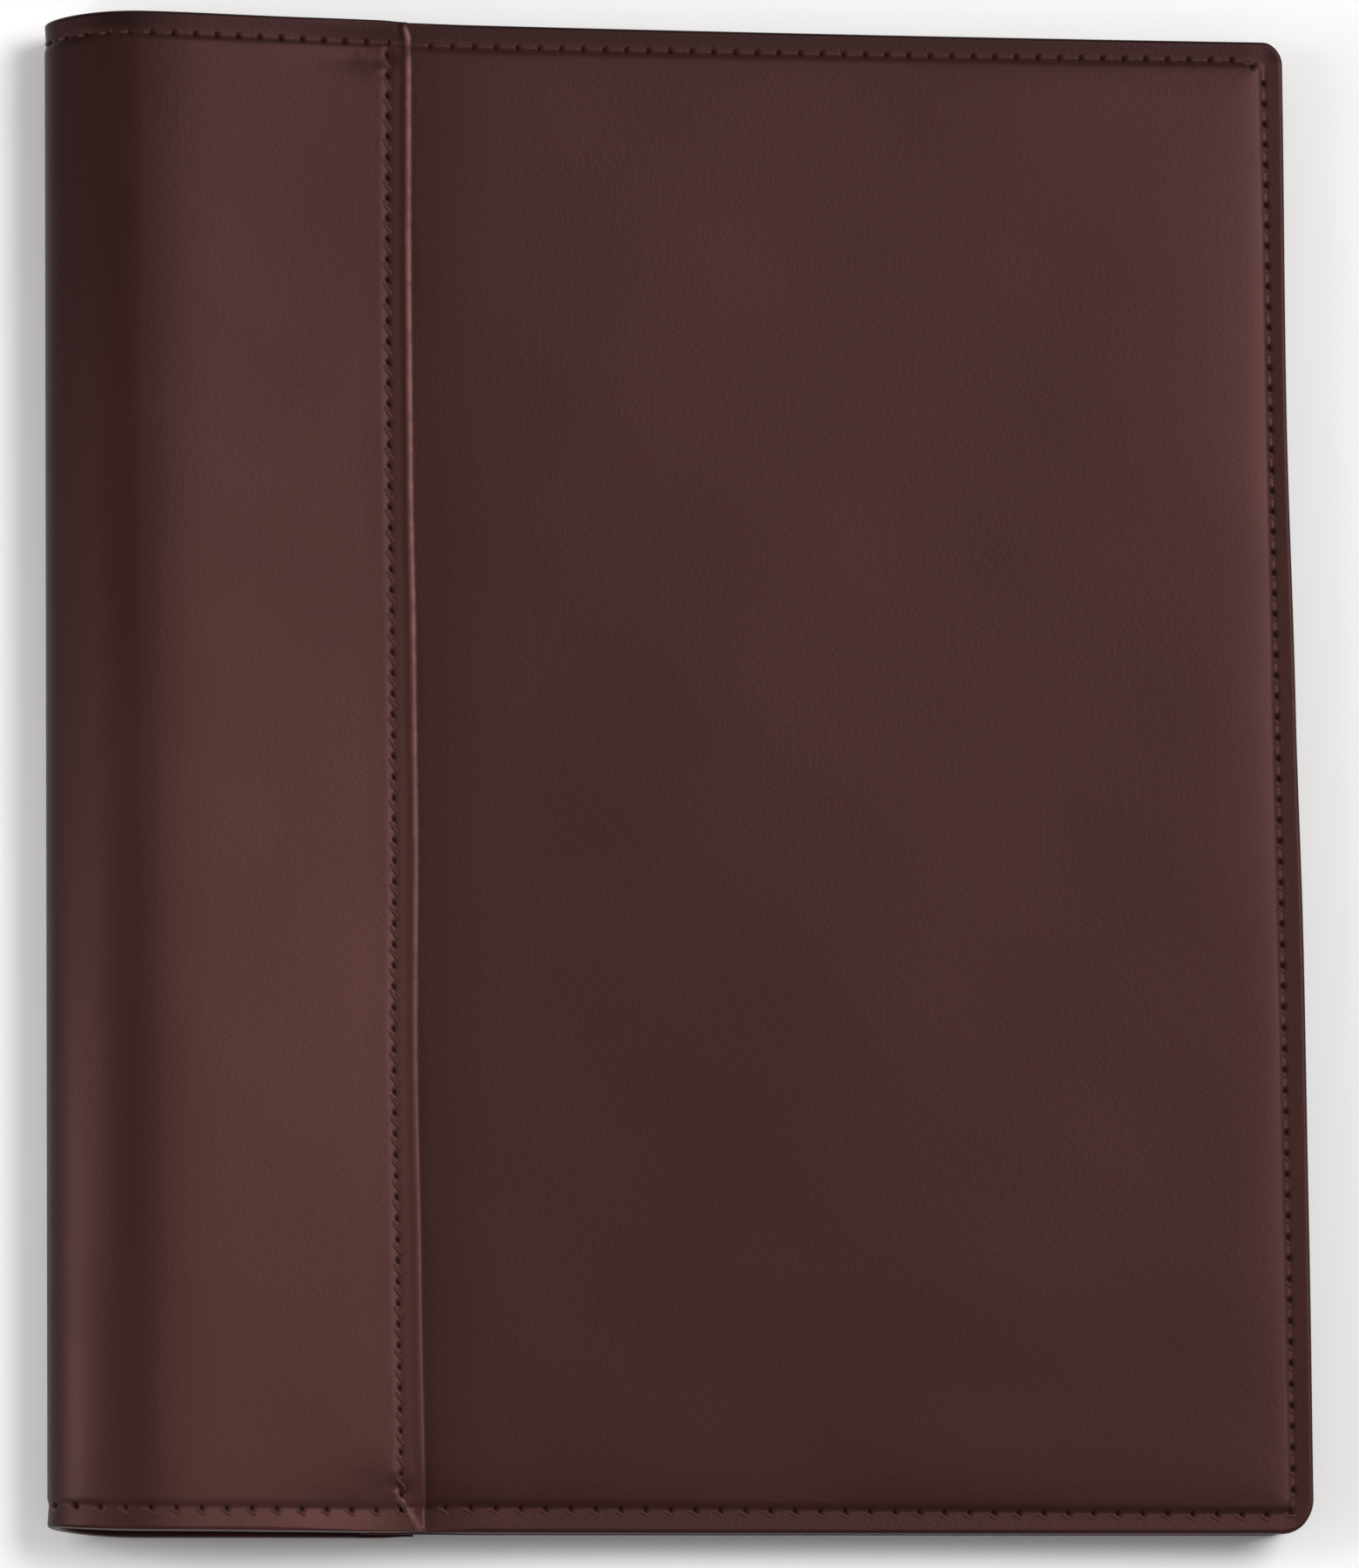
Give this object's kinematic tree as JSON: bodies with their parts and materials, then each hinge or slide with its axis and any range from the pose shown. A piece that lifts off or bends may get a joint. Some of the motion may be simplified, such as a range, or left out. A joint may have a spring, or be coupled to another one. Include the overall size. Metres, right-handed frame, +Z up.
{
  "type": "leather document case",
  "caption": "Soft leather document case lying closed, with a rounded spine, a stitched lap seam and padded covers that open along the far side.",
  "frame": {"origin": "centre of the bounding box on the surface that the closed case lies on", "axes": "+X from the spine to the open edge, +Y towards the top edge, +Z up through the front cover"},
  "size_m": [0.27, 0.325, 0.021],
  "materials": {
    "panel_leather": "smooth finely grained cowhide in dark burgundy brown, satin",
    "wrap_leather": "smooth finely grained cowhide in dark burgundy brown, satin, softly polished over the spine"
  },
  "bodies": {
    "root": {"front_panel": "panel_leather", "spine_wrap": "wrap_leather", "back_panel": "panel_leather"}
  },
  "joints": []
}
